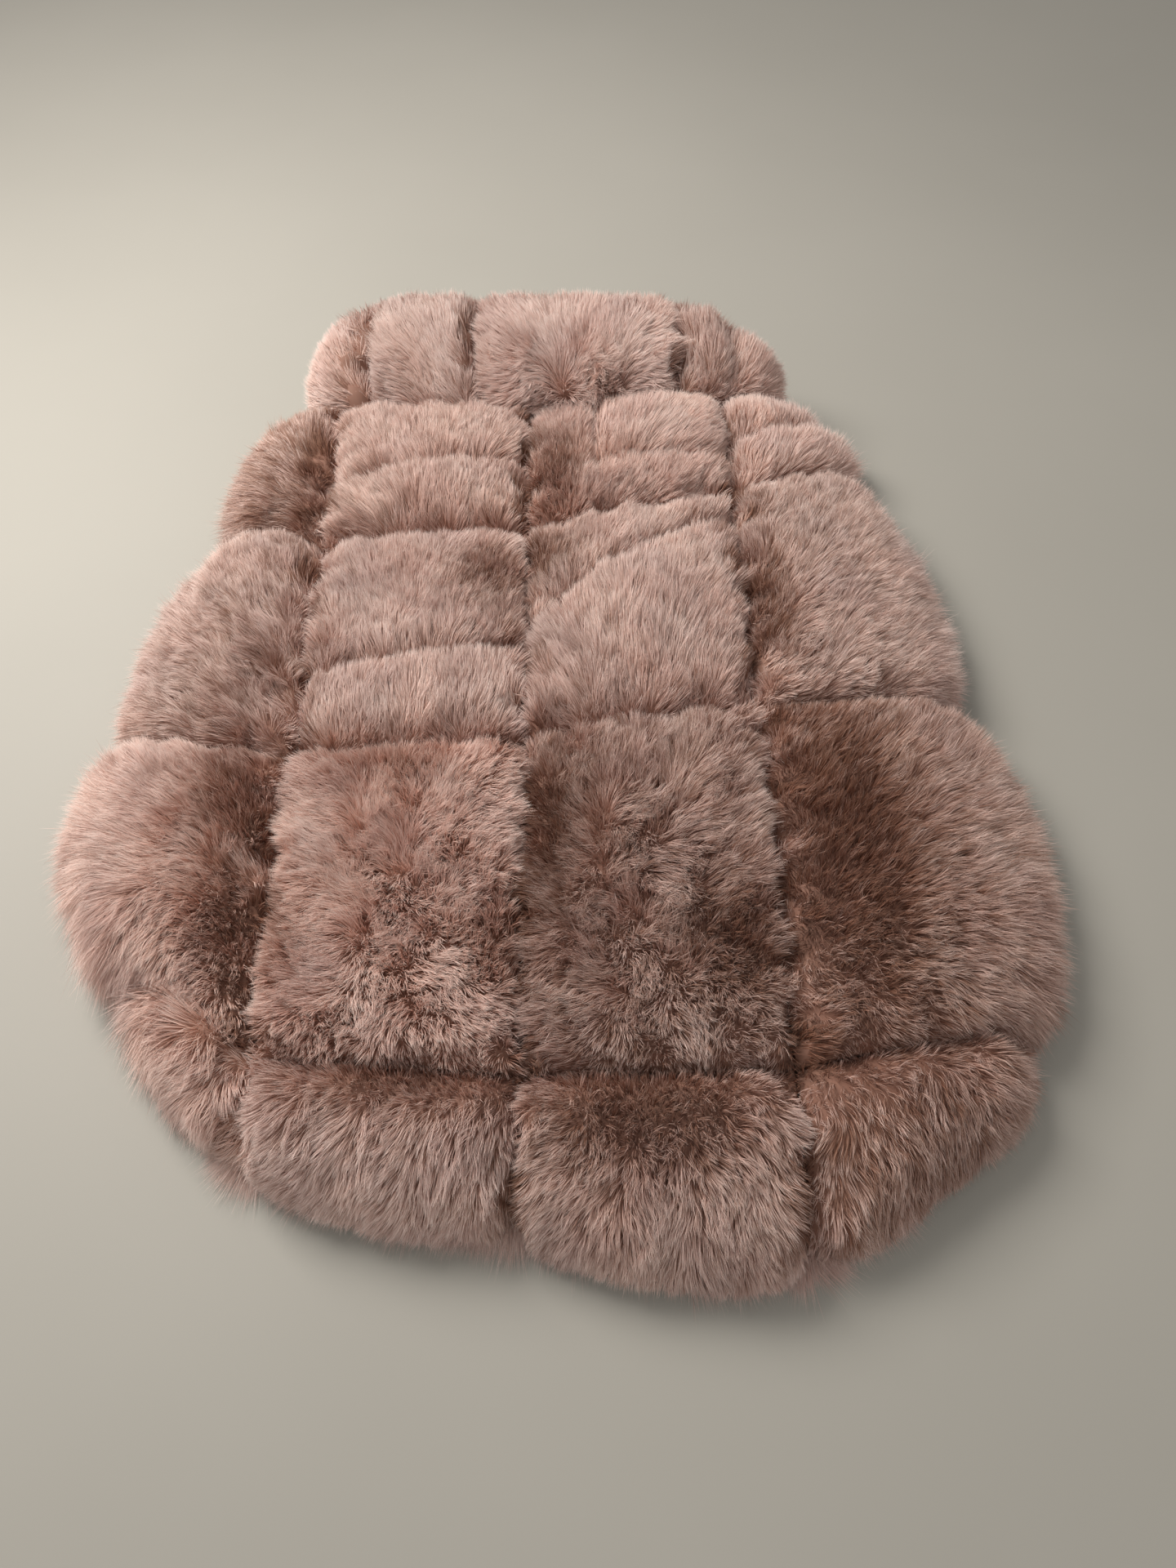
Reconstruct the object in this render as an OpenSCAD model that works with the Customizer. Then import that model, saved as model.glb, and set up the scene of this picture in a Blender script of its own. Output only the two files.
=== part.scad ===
// Faux-fur dog coat, closed and lying belly-down: pieced fur back, stand collar, knit chest with
// leg cuffs, and a belly flap with hook-and-loop tape. Millimetres, +Y towards the neck, +Z up.

/* [Coat] */
// Width of one pieced fur panel, seam to seam
panel_w = 92; // [88:1:94]
// How far the centre seam lies left of the coat's middle
centre_seam_x = -16; // [-20:1:-12]
// Sideways lean of the panel seams over the coat's length, in degrees
seam_lean = -1; // [-1.5:0.5:0]
// Height of the backing fabric over the table on top of the coat
skin_top = 26; // [25:1:28]
// Height of the backing fabric where the sides meet the belly
skin_low = 4; // [4:0.5:5]

/* [Fur] */
// Pile and padding over the middle of a panel
pile_mid = 27; // [22:1:30]
// Pile over a seam, where the stitching pulls it down
pile_seam = 14; // [10:1:16]
// Outward swell of the side edges between two row seams
side_swell = 14; // [8:1:16]

/* [Collar] */
// Height of the collar from the neck seam to its free edge
collar_h = 50; // [46:1:54]
// Height of the collar's backing at the free edge
collar_top = 55; // [50:1:57]
// Pile over the middle of a collar panel
collar_pile = 31; // [26:1:33]
// Thickness of the fur under the throat
throat_t = 12.6; // [11:0.2:13]

/* [Underside] */
// Radius of a leg opening in the chest panel
leg_r = 33; // [30:1:35]
// Wall of the ribbed leg cuff
cuff_wall = 6; // [4:1:8]
// Width of the hook-and-loop tapes
tape_w = 25; // [20:1:26]
// Thickness of the chest knit
chest_t = 4; // [3:0.5:4.5]

/* [Hidden] */
STEPS = 10;          // grid steps across a fur panel
corner_pile = 0.5;   // share of the pile on the small panel at the left end of the hem
corner_gap = 2.4;    // its own air, wider because its seams meet at sharp angles
gap = 0.5;           // air between two neighbouring pieces
lining_gap = 1.4;    // between backing and lining
lining_t = 1.4;      // satin lining with its seam allowance

seam_x = [centre_seam_x - panel_w, centre_seam_x, centre_seam_x + panel_w + 2];

// Row lines from the hem to the neck seam: left edge [x, y], y at the three column seams, right edge [x, y]
row_lines = [
    [[-114, -168], -180, -200, -214, [138, -170]],
    [[-154, -112], -162, -168, -166, [158, -146]],
    [[-170, -24], -38, -30, -14, [152, -4]],
    [[-140, 96], 76, 86, 109, [124, 138]],
    [[-122, 174], 168, 166, 174, [96, 182]]
];
row_swell = [0.3, 1, 0.6, 0.8];     // how much of the side swell each row takes, from the hem up
ROWS = len(row_lines) - 1;
COLS = 4;

// Collar seam positions along the neck, and its free edge
neck_y = 168;
collar_x = [-112, -96, -44, 52, 90];
collar_far = [-6, 0, 2, 2, -4];     // how far each free-edge point stands beyond the collar's height
collar_near = [8, 2, 0, 6, 20];     // the same at the neck seam, where the ends curve round
collar_low = 20;                    // height of the collar's side fold over the table

// Knit, closure and facings under the coat
EDGE_STEPS = 8;                 // points along a panel's edge
seam_in = 4.6;                  // how far the knit's edge stays inside the backing's lower edge
leg_left = [-76, 104];
leg_right = [56, 104];
cuff_z = 0.4;
cuff_h = 6.4;
fabric_t = 1.6;
belly_y = [-72, 42];            // rear and front edge of the belly closure
belly_z = 3.8;                  // underside of the fixed belly panel
belly_free_x = 6;               // free edge of the fixed belly panel
tape_t = 0.8;
tape_x = -26;
tape_end = 10;                  // tape stops this far from the front and rear edges
flap_z = 0.4;                   // underside of the moving flap
flap_hinge = [[152, -72], [137, 42]];
facing_w = 24;
facing_t = 2.8;
facing_reach = [0.3, 0.46];     // how far up the rump's left and right side the facing runs
opening_middle = [-5, -60];
under_lining = skin_top - lining_gap - lining_t - 0.2;

fur_rows = ["tail", "rump", "saddle", "shoulder"];
fur_cols = ["left_side", "left_back", "right_back", "right_side"];
collar_cols = ["left_end", "left", "centre", "right"];

// ---- surface helpers -------------------------------------------------------------------------
function mix(a, b, k) = a * (1 - k) + b * k;
function unit(v) = v / norm(v);
function flat(p) = [p.x, p.y];

// Plan position of a crossing of row line j and column line i
function crossing(i, j) =
    i == 0 ? row_lines[j][0] :
    i == COLS ? row_lines[j][4] :
    [seam_x[i - 1] + tan(seam_lean) * row_lines[j][i], row_lines[j][i]];

// A side panel bends down at its outer edge, so its steps are spaced by angle
function side_share(i, s) = i == 0 ? 1 - s : i == COLS - 1 ? s : 0;
function warped(i, s) = i == 0 ? 1 - sin((1 - s) * 90) : i == COLS - 1 ? sin(s * 90) : s;
function hem_share(j, t) = j == 0 ? 1 - t : 0;
function hem_warped(j, t) = j == 0 ? 1 - sin((1 - t) * 90) : t;

// Backing fabric of body panel (i, j) at s across and t along
function body_skin(i, j, s, t) =
    let (a = warped(i, s), b = hem_warped(j, t),
         p = mix(mix(crossing(i, j), crossing(i + 1, j), a),
                 mix(crossing(i, j + 1), crossing(i + 1, j + 1), a), b),
         swell = side_swell * row_swell[j] * 4 * b * (1 - b) * side_share(i, s) * (i == 0 ? -1 : 1),
         hem_swell = 4 * a * (1 - a) * hem_share(j, t) * 4,
         z = mix(skin_low, skin_top, cos(side_share(i, s) * 90) * cos(hem_share(j, t) * 90)))
    [p.x + swell, p.y - hem_swell, z];

// Backing fabric of collar panel i, rising from the neck seam to the free edge
function collar_skin(i, j, s, t) =
    let (a = warped(i, s),
         x = mix(collar_x[i], collar_x[i + 1], a),
         near = mix(collar_near[i], collar_near[i + 1], a),
         far = collar_h + mix(collar_far[i], collar_far[i + 1], a),
         high = mix(skin_top + 1, collar_top, t))
    [x, neck_y + mix(near, far, t), mix(collar_low, high, cos(side_share(i, s) * 90))];

function skin(kind, i, j, s, t) =
    kind == "collar" ? collar_skin(i, j, s, t) : body_skin(i, j, s, t);

// Normal of one panel's backing, taken a little inside its edge, where the surface has no folded corner.
// The collar's pile stands upright at the neck seam and leans back towards the free edge.
function own_normal(kind, i, j, s, t) =
    let (e = 0.02, sc = min(0.92, max(0.08, s)), tc = min(0.92, max(0.08, t)),
         n = unit(cross(skin(kind, i, j, sc + e, tc) - skin(kind, i, j, sc - e, tc),
                        skin(kind, i, j, sc, tc + e) - skin(kind, i, j, sc, tc - e))))
    unit([n.x, kind == "collar" ? n.y * t : n.y, max(0.1, n.z)]);

// Two panels share one direction along their seam, so that their piles never cross
function shared(n, a, b, k) = unit(mix(n, unit(a + b), k * k));
function across_shared(kind, i, j, s, t) =
    let (n = own_normal(kind, i, j, s, t))
    s < 0.5 && i > 0 ?
        shared(n, own_normal(kind, i, j, 0, t), own_normal(kind, i - 1, j, 1, t), 1 - 2 * s) :
    s > 0.5 && i < COLS - 1 ?
        shared(n, own_normal(kind, i, j, 1, t), own_normal(kind, i + 1, j, 0, t), 2 * s - 1) : n;
function pile_direction(kind, i, j, s, t) =
    let (n = across_shared(kind, i, j, s, t))
    kind == "collar" ? n :
    t < 0.5 && j > 0 ?
        shared(n, across_shared(kind, i, j, s, 0), across_shared(kind, i, j - 1, s, 1), 1 - 2 * t) :
    t > 0.5 && j < ROWS - 1 ?
        shared(n, across_shared(kind, i, j, s, 1), across_shared(kind, i, j + 1, s, 0), 2 * t - 1) : n;

// 0 on a seam and 1 in the middle of a panel; a free edge has no seam to pull it down
function rise_s(i, s) = i == 0 ? sin((1 - s) * 90) : i == COLS - 1 ? sin(s * 90) : sin(s * 180);
function rise_t(j, t) = j == 0 ? sin((1 - t) * 90) : sin(t * 180);
function body_pile(i, j, s, t) =
    (mix(pile_seam, pile_mid, pow(rise_s(i, s) * rise_t(j, t), 0.6)) - 2 * side_share(i, s)
     - 6 * hem_share(j, t)) * (i == 0 && j == 0 ? corner_pile : 1);
function collar_pile_at(i, s, t) =
    mix(mix(pile_seam, 16, t), collar_pile, pow(sin(t * 180), 0.8) * mix(0.6, 1, pow(rise_s(i, s), 0.6)))
    - 8 * side_share(i, s) * t;

function pile(kind, i, j, s, t) =
    kind == "collar" ? collar_pile_at(i, s, t) : body_pile(i, j, s, t);

// Point on a panel, raised by the given share of its pile, or lowered by a fixed depth
function raised(kind, i, j, s, t, share, depth = 0) =
    skin(kind, i, j, s, t)
    + pile_direction(kind, i, j, s, t) * (share * pile(kind, i, j, s, t) - depth);

// ---- closed solids from two grids ------------------------------------------------------------
function grid_faces(n, m, base, up) = [
    for (a = [0 : n - 1], b = [0 : m - 1])
        let (p = base + a * (m + 1) + b, q = p + m + 1)
        each up ? [[p, p + 1, q + 1], [p, q + 1, q]] : [[p, q + 1, p + 1], [p, q, q + 1]]
];
function wall_faces(n, m, low, high) =
    let (ring = concat([for (b = [0 : m - 1]) b],
                       [for (a = [0 : n - 1]) a * (m + 1) + m],
                       [for (b = [m : -1 : 1]) n * (m + 1) + b],
                       [for (a = [n : -1 : 1]) a * (m + 1)]))
    [for (k = [0 : len(ring) - 1])
        let (p = ring[k], q = ring[(k + 1) % len(ring)])
        each [[low + p, high + p, high + q], [low + p, high + q, low + q]]];

module sheet_solid(low, high, n, m) {
    count = (n + 1) * (m + 1);
    polyhedron(points = concat(low, high),
               faces = concat(grid_faces(n, m, 0, true), grid_faces(n, m, count, false),
                              wall_faces(n, m, 0, count)),
               convexity = 6);
}

// Trim a panel by half the air, measured against its own size
function inset(size, air, k) = mix(air / 2 / size, 1 - air / 2 / size, k);

module fur_panel(kind, i, j) {
    across = norm(skin(kind, i, j, 1, 0.5) - skin(kind, i, j, 0, 0.5));
    along = norm(skin(kind, i, j, 0.5, 1) - skin(kind, i, j, 0.5, 0));
    air = kind == "body" && i == 0 && j == 0 ? corner_gap : gap;
    places = [for (a = [0 : STEPS], b = [0 : STEPS])
        [inset(across, air, a / STEPS), inset(along, air, b / STEPS)]];
    sheet_solid([for (p = places) raised(kind, i, j, p.x, p.y, 0)],
                [for (p = places) raised(kind, i, j, p.x, p.y, 1)], STEPS, STEPS);
}

// One lining sheet under a whole run of panels
module lining_under(kind, cols, rows) {
    step = 6;
    n = len(cols) * step;
    m = len(rows) * step;
    places = [for (a = [0 : n], b = [0 : m])
        let (ci = min(floor(a / step), len(cols) - 1), ri = min(floor(b / step), len(rows) - 1),
             s = a / step - ci, t = b / step - ri)
        [cols[ci], rows[ri], mix(0.03, 0.97, s), mix(0.03, 0.97, t)]];
    sheet_solid(
        [for (p = places) raised(kind, p[0], p[1], p[2], p[3], 0, lining_gap + lining_t)],
        [for (p = places) raised(kind, p[0], p[1], p[2], p[3], 0, lining_gap)], n, m);
}

// Turned-under fur facing along an outer edge: a flat strip on the table, turned in towards the opening's middle
module facing(edge_points) {
    low = [for (p = edge_points, k = [1, facing_w])
        let (q = p + k * unit(opening_middle - p)) [q.x, q.y, 0]];
    high = [for (p = low) [p.x, p.y, facing_t]];
    sheet_solid(low, high, len(edge_points) - 1, 1);
}

// Flat fabric piece with rounded plan corners
module cut_piece(points, r, z0, thickness) {
    translate([0, 0, z0]) linear_extrude(thickness)
        offset(r = r, $fn = 32) offset(delta = -r) polygon(points);
}

// ---- pieces ----------------------------------------------------------------------------------
fur_pink = [0.83, 0.64, 0.60];
satin_pink = [0.80, 0.60, 0.58];
knit_pink = [0.78, 0.57, 0.54];
tape_pink = [0.86, 0.70, 0.67];

module throat_fur(x0, x1, bulge_left, bulge_right) {
    color(fur_pink)
        cut_piece([[x0 - bulge_left, 196], [x0, 172], [x1, 172], [x1 + bulge_right, 198],
                   [x1 + bulge_right, 210], [x1, 218], [x0, 218], [x0 - bulge_left, 210]], 3, 0, throat_t);
}

module throat_lining() {
    color(satin_pink)
        cut_piece([[-106, 174], [82, 174], [84, 212], [-108, 212]], 4, throat_t + 0.2, lining_t);
}

// Lower edge of one side of the coat, a little inside the backing
function side_edge(i) =
    [for (j = [1 : ROWS - 1], k = [0 : EDGE_STEPS])
        let (p = body_skin(i, j, i == 0 ? 0 : 1, k / EDGE_STEPS)) [p.x + (i == 0 ? seam_in : -seam_in), p.y]];
function reversed(list) = [for (k = [len(list) - 1 : -1 : 0]) list[k]];

// Plan of the coat's underside between its two sides, cut to a stretch along the coat
module underside(x_to, y_from, y_to) {
    intersection() {
        polygon(concat(side_edge(0), reversed(side_edge(COLS - 1))));
        translate([-200, y_from]) square([200 + x_to, y_to - y_from]);
    }
}

module chest_panel() {
    color(knit_pink) difference() {
        linear_extrude(chest_t) underside(200, belly_y[1] + 2, neck_y);
        for (p = [leg_left, leg_right])
            translate([p.x, p.y, -1]) cylinder(h = chest_t + 2, r = leg_r, $fn = 96);
    }
}

module leg_cuff(centre) {
    color(knit_pink) translate([centre.x, centre.y, cuff_z])
        rotate_extrude($fn = 96)
            translate([leg_r - gap / 2 - cuff_wall, 0]) square([cuff_wall, cuff_h]);
}

module belly_panel() {
    color(knit_pink) translate([0, 0, belly_z]) linear_extrude(fabric_t)
        underside(belly_free_x, belly_y[0], belly_y[1]);
}

module tape(z0) {
    color(tape_pink) translate([tape_x, belly_y[0] + tape_end, z0])
        cube([tape_w, belly_y[1] - belly_y[0] - 2 * tape_end, tape_t]);
}

module belly_flap() {
    color(knit_pink)
        cut_piece([[tape_x - 8, belly_y[0]], flap_hinge[0], flap_hinge[1], [tape_x - 8, belly_y[1]]],
                  4, flap_z, fabric_t);
}

// Elastic sewn on the moving flap's rear edge
module flap_elastic() {
    color(tape_pink) translate([16, belly_y[0] + 4, flap_z + fabric_t]) cube([104, 8, 1.2]);
}

hem_middle = [for (i = [1, 2], k = [i - 1 : EDGE_STEPS]) body_skin(i, 0, k / EDGE_STEPS, 0)];
module hem_facing_left() {
    color(fur_pink) facing(concat(
        [for (k = [EDGE_STEPS : -1 : 0]) flat(body_skin(0, 1, 0, k / EDGE_STEPS * facing_reach[0]))],
        [flat(crossing(0, 0)), flat(mix(crossing(0, 0), crossing(1, 0), 0.5)), flat(crossing(1, 0))]));
}
module hem_facing_tail() {
    color(fur_pink) facing([for (p = hem_middle) flat(p)]);
}
module hem_facing_right() {
    color(fur_pink) facing(concat(
        [flat(crossing(3, 0)), flat(mix(crossing(3, 0), crossing(4, 0), 0.5)), flat(crossing(4, 0))],
        [for (k = [0 : EDGE_STEPS]) flat(body_skin(3, 1, 1, k / EDGE_STEPS * facing_reach[1]))]));
}

module care_label() {
    color("white") translate([-34, 128, under_lining - 0.8]) cube([24, 14, 0.8]);
}

module hang_loop() {
    color(satin_pink) translate([0, 130, under_lining - 1.2]) difference() {
        cube([30, 16, 1.2]);
        translate([4, -1, -1]) cube([22, 13, 4]);
    }
}

// ---- what is drawn ---------------------------------------------------------------------------
// Moves the coat so that the middle of its footprint is the origin
module placed() { translate([4.5, 5.8, 0]) children(); }

for (j = [0 : ROWS - 1], i = [0 : COLS - 1])
    placed() color(fur_pink) fur_panel("body", i, j);
for (i = [0 : COLS - 1])
    placed() color(fur_pink) fur_panel("collar", i, 1);
placed() throat_fur(-108, -12.5, 18, 0);  // throat_fur_left
placed() throat_fur(-12, 84, 0, 18);  // throat_fur_right
placed() throat_lining();
placed() color(satin_pink) lining_under("collar", [0, 1, 2, 3], [1]);  // collar_lining
placed() color(satin_pink) lining_under("body", [0, 1, 2, 3], [0, 1, 2, 3]);  // back_lining
placed() chest_panel();
placed() leg_cuff(leg_left);  // leg_cuff_left
placed() leg_cuff(leg_right);  // leg_cuff_right
placed() belly_panel();
placed() tape(belly_z - tape_t);  // loop_tape
placed() belly_flap();
placed() tape(flap_z + fabric_t);  // hook_tape
placed() flap_elastic();
placed() hem_facing_left();
placed() hem_facing_tail();
placed() hem_facing_right();
placed() care_label();
placed() hang_loop();
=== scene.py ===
"""Looks of the faux-fur dog coat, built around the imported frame.

Shapes are worked out in millimetres in the frame's own axes, and written to meshes in metres. Every fur panel
is one piece: a pillow-shaped pile bed on its backing, with tapered strands standing on it in small locks.
"""
import math

import bmesh
import bpy
import numpy as np
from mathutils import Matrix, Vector


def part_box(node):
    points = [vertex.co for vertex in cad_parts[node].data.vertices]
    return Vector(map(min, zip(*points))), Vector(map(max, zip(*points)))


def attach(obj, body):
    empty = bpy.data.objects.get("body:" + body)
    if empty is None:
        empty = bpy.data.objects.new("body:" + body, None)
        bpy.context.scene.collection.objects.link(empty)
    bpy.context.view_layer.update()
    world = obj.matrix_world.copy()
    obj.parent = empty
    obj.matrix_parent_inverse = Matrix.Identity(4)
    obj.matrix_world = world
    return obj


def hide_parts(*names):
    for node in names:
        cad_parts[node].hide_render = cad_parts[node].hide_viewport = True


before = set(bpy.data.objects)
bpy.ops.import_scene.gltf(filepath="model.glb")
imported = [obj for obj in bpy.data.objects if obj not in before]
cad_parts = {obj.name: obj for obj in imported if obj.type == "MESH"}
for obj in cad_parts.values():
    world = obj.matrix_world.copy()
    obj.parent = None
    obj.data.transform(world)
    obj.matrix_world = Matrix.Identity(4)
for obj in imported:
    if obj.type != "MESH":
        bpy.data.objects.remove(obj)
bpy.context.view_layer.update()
MM = 0.001

# ---- camera and lights ----

CAMERA_AT = (0.0145, -0.3042, 0.420)
CAMERA_PITCH = 56.0                  # degrees below the horizon
LENS, SENSOR = 27.06, 36.0           # millimetres; the sensor's long side
LIGHTS = [                           # name, place, target, size, watts, colour
    ("key", (-0.40, 0.27, 0.65), (-0.02, 0.08, 0.0), (0.42, 0.42), 6.5, (1.0, 0.95, 0.89)),
    ("fill", (-0.3, -1.0, 1.5), (0.0, 0.15, 0.0), (1.6, 1.2), 3.1, (1.0, 0.97, 0.93)),
]
ROOM_COLOUR, ROOM_LIGHT = (1.0, 0.965, 0.92, 1.0), 0.33


def linked(name, data):
    """A new object in the scene."""
    obj = bpy.data.objects.new(name, data)
    bpy.context.collection.objects.link(obj)
    return obj


def make_camera():
    data = bpy.data.cameras.new("camera")
    data.sensor_width = SENSOR
    data.lens = LENS
    obj = linked("camera", data)
    obj.location = CAMERA_AT
    obj.rotation_euler = (math.radians(90.0 - CAMERA_PITCH), 0.0, 0.0)
    bpy.context.scene.camera = obj


def area_light(name, at, target, size, power, colour):
    data = bpy.data.lights.new(name, "AREA")
    data.shape = "RECTANGLE"
    data.size, data.size_y = size
    data.energy = power
    data.color = colour
    obj = linked(name, data)
    obj.location = at
    obj.rotation_euler = (Vector(target) - obj.location).to_track_quat("-Z", "Y").to_euler()


def make_lights():
    for light in LIGHTS:
        area_light(*light)
    world = bpy.data.worlds.new("room")
    world.use_nodes = True
    background = world.node_tree.nodes["Background"]
    background.inputs["Color"].default_value = ROOM_COLOUR
    background.inputs["Strength"].default_value = ROOM_LIGHT
    bpy.context.scene.world = world
    bpy.context.scene.view_settings.view_transform = "Standard"


# ---- materials ----

WAVE_M = math.tau / 20        # wavelength of Blender's wave texture at scale 1, in metres
YARN_RELIEF = 0.0004          # metres
WORN_PATCHES = 40.0           # scale of the cloth's worn patches
ROUGHER, SMOOTHER = 0.10, 0.08
WHITE = (1.0, 1.0, 1.0)
# the colours darken towards the root: painted shade of the pile's depth
FUR_STOPS = (0.0, 0.25, 0.5, 0.85, 1.0)      # from a strand's root to its tip
FUR_COOL = ((0.42, 0.31, 0.26), (0.78, 0.63, 0.57), (0.90, 0.79, 0.745), (0.97, 0.895, 0.87),
            (1.0, 0.955, 0.935))
FUR_WARM = ((0.40, 0.25, 0.17), (0.76, 0.57, 0.48), (0.92, 0.76, 0.69), (1.0, 0.89, 0.845),
            (1.0, 0.95, 0.915))


def srgb(r, g, b):
    """A colour given as it looks on screen, turned into the shader's linear one."""
    line = [c / 12.92 if c <= 0.04045 else ((c + 0.055) / 1.055) ** 2.4 for c in (r, g, b)]
    return (*line, 1.0)


def new_material(name, roughness, sheen=0.0, sheen_tint=WHITE, specular=0.3):
    mat = bpy.data.materials.new(name)
    mat.use_nodes = True
    shader = mat.node_tree.nodes["Principled BSDF"]
    for key, value in (("Roughness", roughness), ("Specular IOR Level", specular), ("Sheen Weight", sheen),
                       ("Sheen Roughness", 0.45), ("Sheen Tint", srgb(*sheen_tint))):
        shader.inputs[key].default_value = value
    return mat, mat.node_tree, shader


def node(tree, kind, **settings):
    made = tree.nodes.new(kind)
    for key, value in settings.items():
        if key in made.inputs:
            made.inputs[key].default_value = value
        else:
            setattr(made, key, value)
    return made


def ramp(tree, source, stops):
    """A colour ramp fed by a socket; stops are (place, screen colour)."""
    made = tree.nodes.new("ShaderNodeValToRGB")
    while len(made.color_ramp.elements) < len(stops):
        made.color_ramp.elements.new(0.5)
    for element, (place, colour) in zip(made.color_ramp.elements, stops):
        element.position = place
        element.color = srgb(*colour)
    tree.links.new(source, made.inputs["Fac"])
    return made.outputs["Color"]


def texture(tree, kind, **settings):
    """A procedural texture that sticks to the object."""
    place, made = node(tree, "ShaderNodeTexCoord"), node(tree, kind, **settings)
    tree.links.new(place.outputs["Object"], made.inputs["Vector"])
    return made.outputs["Fac"]


def mixed(tree, factor, a, b, blend="MULTIPLY"):
    """Mixes two colours; each argument is a socket or a value."""
    made = tree.nodes.new("ShaderNodeMix")
    made.data_type = "RGBA"
    made.blend_type = blend
    for socket, value in ((made.inputs[0], factor), (made.inputs[6], a), (made.inputs[7], b)):
        if isinstance(value, (tuple, float)):
            socket.default_value = value
        else:
            tree.links.new(value, socket)
    return made.outputs[2]


def fur_material():
    """Root-to-tip colour, with a strand-to-strand tone, and greyer and warmer patches over the whole coat."""
    mat, tree, shader = new_material("fur_pile", 0.6, 0.25, (1.0, 0.88, 0.83), 0.2)
    hair = node(tree, "ShaderNodeAttribute", attribute_name="hair")
    split = tree.nodes.new("ShaderNodeSeparateColor")
    tree.links.new(hair.outputs["Color"], split.inputs["Color"])
    along, tone, warmth = split.outputs["Red"], split.outputs["Green"], split.outputs["Blue"]
    cool, warm = [ramp(tree, along, list(zip(FUR_STOPS, colours))) for colours in (FUR_COOL, FUR_WARM)]
    tones = ramp(tree, tone, [(0.0, (0.64, 0.54, 0.48)), (0.5, (0.96, 0.945, 0.94)), (1.0, WHITE)])
    patches = texture(tree, "ShaderNodeTexNoise", Scale=34.0, Detail=3.0)
    mottle = ramp(tree, patches, [(0.35, (0.95, 0.93, 0.93)), (0.6, WHITE)])
    colour = mixed(tree, warmth, cool, warm, "MIX")
    colour = mixed(tree, 1.0, colour, tones)
    colour = mixed(tree, 1.0, colour, mottle)
    tree.links.new(colour, shader.inputs["Base Color"])
    return mat


def cloth_material(name, light, dark, pitches, roughness, sheen, bump):
    """Woven or knitted cloth: two crossing sets of yarns, worn patches and fuzz.

    light and dark are screen colours, and pitches are millimetres along x and y; dark is painted shade in the
    grooves between the yarns.
    """
    mat, tree, shader = new_material(name, roughness, sheen, light, 0.25)
    weave = node(tree, "ShaderNodeMath", operation="MULTIPLY")
    for slot, direction, pitch in zip(weave.inputs, ("X", "Y"), pitches):
        yarn = texture(tree, "ShaderNodeTexWave", Scale=WAVE_M / (pitch * MM), Distortion=1.2, Detail=1.0,
                       bands_direction=direction, **{"Detail Scale": 2.0})
        tree.links.new(yarn, slot)
    patches = texture(tree, "ShaderNodeTexNoise", Scale=WORN_PATCHES, Detail=5.0)
    # the yarns' colour is dark in the grooves between them: painted shade on top of the bump
    yarns = ramp(tree, weave.outputs[0], [(0.0, dark), (0.55, light)])
    worn = ramp(tree, patches, [(0.35, (0.90, 0.88, 0.87)), (0.65, WHITE)])
    tree.links.new(mixed(tree, 1.0, yarns, worn), shader.inputs["Base Color"])
    rough = node(tree, "ShaderNodeMapRange",
                 **{"To Min": roughness - SMOOTHER, "To Max": min(1.0, roughness + ROUGHER)})
    tree.links.new(patches, rough.inputs["Value"])
    tree.links.new(rough.outputs["Result"], shader.inputs["Roughness"])
    relief = node(tree, "ShaderNodeBump", Strength=bump, Distance=YARN_RELIEF)
    tree.links.new(weave.outputs[0], relief.inputs["Height"])
    tree.links.new(relief.outputs["Normal"], shader.inputs["Normal"])
    return mat


CLOTHS = [            # name, light yarn, painted shade between the yarns, pitches in mm, roughness, sheen, bump
    ("satin_weave", (0.86, 0.68, 0.65), (0.74, 0.55, 0.53), (0.6, 0.9), 0.36, 0.5, 0.25),
    ("rib_stitches", (0.82, 0.63, 0.60), (0.60, 0.42, 0.40), (0.8, 1.2), 0.82, 0.6, 0.7),
    ("cuff_stitches", (0.80, 0.60, 0.57), (0.57, 0.39, 0.37), (1.1, 1.1), 0.85, 0.6, 0.7),
    ("brushed_loops", (0.90, 0.75, 0.72), (0.76, 0.58, 0.55), (0.7, 0.7), 0.9, 0.8, 0.5),
    ("fine_hooks", (0.88, 0.73, 0.70), (0.78, 0.62, 0.60), (0.9, 0.9), 0.45, 0.1, 0.4),
    ("woven_elastic", (0.90, 0.75, 0.72), (0.68, 0.50, 0.48), (0.9, 0.7), 0.75, 0.3, 0.6),
    ("woven_label", (0.95, 0.94, 0.92), (0.85, 0.83, 0.81), (0.4, 0.4), 0.55, 0.2, 0.3),
]


def floor_material():
    mat, tree, shader = new_material("floor_paint", 0.55, specular=0.35)
    noise = texture(tree, "ShaderNodeTexNoise", Scale=3.0, Detail=4.0)
    colour = ramp(tree, noise, [(0.3, (0.68, 0.67, 0.64)), (0.7, (0.705, 0.695, 0.665))])
    tree.links.new(colour, shader.inputs["Base Color"])
    return mat


# ---- the coat's layout, as the CAD has it ----

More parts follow.
